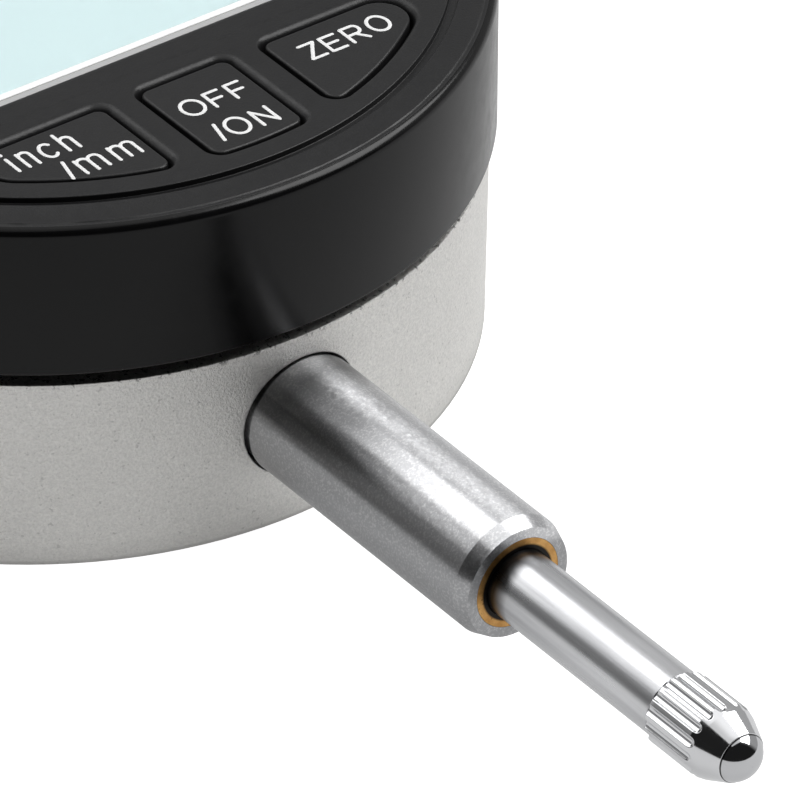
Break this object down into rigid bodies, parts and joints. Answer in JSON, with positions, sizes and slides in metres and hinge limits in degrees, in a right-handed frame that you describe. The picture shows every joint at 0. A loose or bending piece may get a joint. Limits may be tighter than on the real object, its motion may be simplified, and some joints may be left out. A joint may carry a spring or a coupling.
{
  "type": "dial indicator",
  "caption": "Digital plunger dial indicator: round metal case, black bezel with display and keys, clamping stem and a sprung spindle with a ball contact.",
  "frame": {"origin": "centre of the case's flat back face", "axes": "+Z out of the display face, -Y along the spindle towards its ball tip, +X to the right when the display is read with the spindle down"},
  "size_m": [0.0572, 0.1161, 0.0247],
  "materials": {
    "case_metal": "matt blasted aluminium, fine grain",
    "cover_metal": "brushed plate",
    "seal_rubber": "matt rubber",
    "screw_steel": "machined steel",
    "stem_steel": "ground and lightly polished along its length",
    "bush_bronze": "sintered bronze",
    "cap_metal": "turned, with a knurled grip",
    "frame_metal": "milled",
    "spring_steel": "drawn wire",
    "bezel_plastic": "satin moulded black",
    "window_clear": "clear acrylic",
    "frame_plastic": "smooth white",
    "display_glass": "pale blue-green liquid crystal display",
    "connector_rubber": "striped conductive silicone",
    "carrier_plastic": "moulded",
    "circuit_board": "solder mask",
    "ribbon_film": "polyimide film",
    "pad_rubber": "silicone",
    "electrode_copper": "gilt copper bars",
    "epoxy_black": "potting epoxy",
    "crystal_can": "drawn can",
    "cell_steel": "pressed and polished",
    "contact_gold": "plated spring strip",
    "port_plastic": "moulded",
    "spindle_steel": "ground and polished",
    "contact_chrome": "bright plated",
    "ball_steel": "polished ball",
    "scale_board": "glass-fibre strip with copper bars",
    "key_plastic": "satin moulded black"
  },
  "bodies": {
    "case": {"body_housing": "case_metal", "back_cover": "cover_metal", "back_gasket": "seal_rubber", "back_screws": "screw_steel", "stem": "stem_steel", "stem_bush": "bush_bronze", "stem_set_screw": "screw_steel", "top_tube": "stem_steel", "upper_bush": "bush_bronze", "dust_cap": "cap_metal", "guide_rail": "frame_metal", "guide_rail_screws": "screw_steel", "spring_post": "screw_steel", "return_spring": "spring_steel", "front_bezel": "bezel_plastic", "bezel_gasket": "seal_rubber", "bezel_screws": "screw_steel", "lcd_window": "window_clear", "lcd_frame": "frame_plastic", "lcd_glass": "display_glass", "zebra_strips": "connector_rubber", "display_carrier": "carrier_plastic", "key_board": "circuit_board", "key_ribbon": "ribbon_film", "key_membrane": "pad_rubber", "main_board": "circuit_board", "board_screws": "screw_steel", "stator_strip": "electrode_copper", "controller_blob": "epoxy_black", "timing_crystal": "crystal_can", "battery_cell": "cell_steel", "battery_contact_minus": "contact_gold", "battery_contact_plus": "contact_gold", "data_port_contacts": "port_plastic"},
    "spindle_train": {"spindle": "spindle_steel", "contact_point": "contact_chrome", "contact_ball": "ball_steel", "stop_washer": "seal_rubber", "carriage": "frame_metal", "carriage_screws": "screw_steel", "guide_pin": "spindle_steel", "moving_scale": "scale_board", "spring_hook": "screw_steel"},
    "key_unit": {"key_unit": "key_plastic"},
    "key_power": {"key_power": "key_plastic"},
    "key_zero": {"key_zero": "key_plastic"},
    "battery_door": {"battery_door": "bezel_plastic"},
    "data_port_cover": {"data_port_cover": "bezel_plastic"}
  },
  "joints": [
    {"name": "spindle_travel", "type": "slide", "parent": "case", "child": "spindle_train", "axis": [0, 1, 0], "range_m": [0, 0.0127], "stiffness_N_per_m": 50, "springref_m": -0.01, "deforming": ["return_spring"]},
    {"name": "key_unit_press", "type": "slide", "parent": "case", "child": "key_unit", "axis": [0, 0, -1], "range_m": [0, 0.0004], "stiffness_N_per_m": 1500, "springref_m": -0.0002},
    {"name": "key_power_press", "type": "slide", "parent": "case", "child": "key_power", "axis": [0, 0, -1], "range_m": [0, 0.0004], "stiffness_N_per_m": 1500, "springref_m": -0.0002},
    {"name": "key_zero_press", "type": "slide", "parent": "case", "child": "key_zero", "axis": [0, 0, -1], "range_m": [0, 0.0004], "stiffness_N_per_m": 1500, "springref_m": -0.0002},
    {"name": "battery_door_slide", "type": "slide", "parent": "case", "child": "battery_door", "axis": [0, 1, 0], "range_m": [0, 0.014]},
    {"name": "data_port_cover_pull", "type": "slide", "parent": "case", "child": "data_port_cover", "axis": [-0.5736, 0.8192, 0], "range_m": [0, 0.006]}
  ]
}
